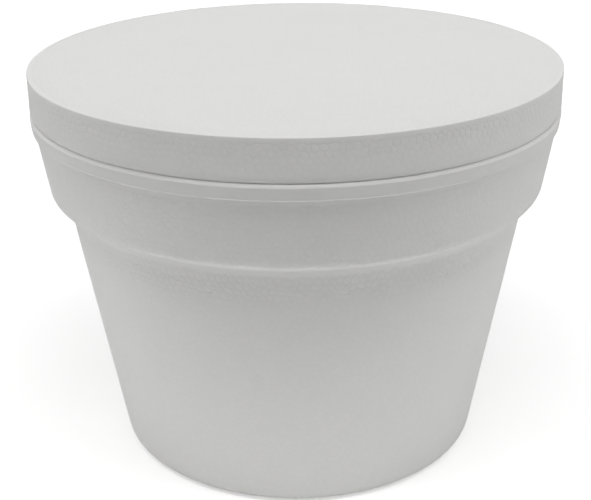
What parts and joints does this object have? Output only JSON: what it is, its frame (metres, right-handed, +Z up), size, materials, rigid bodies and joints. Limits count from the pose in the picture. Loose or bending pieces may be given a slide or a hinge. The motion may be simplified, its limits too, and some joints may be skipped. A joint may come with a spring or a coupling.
{
  "type": "foam food container",
  "caption": "Round tapered foam tub with a stepped collar and a flat push-on foam lid, for hot or cold food.",
  "frame": {"origin": "centre of the base, on the surface the container stands on", "axes": "+Z up along the axis of the tub; the piece is round, so +X and +Y are free"},
  "size_m": [0.116, 0.116, 0.0879],
  "materials": {
    "white_bead_foam": "matt white moulded bead foam with a faint pattern of flattened beads"
  },
  "bodies": {
    "tub": {"tub": "white_bead_foam"},
    "lid": {"lid": "white_bead_foam"}
  },
  "joints": [
    {"name": "lid_lift", "type": "slide", "parent": "tub", "child": "lid", "axis": [0, 0, 1], "range_m": [0, 0.1]}
  ]
}
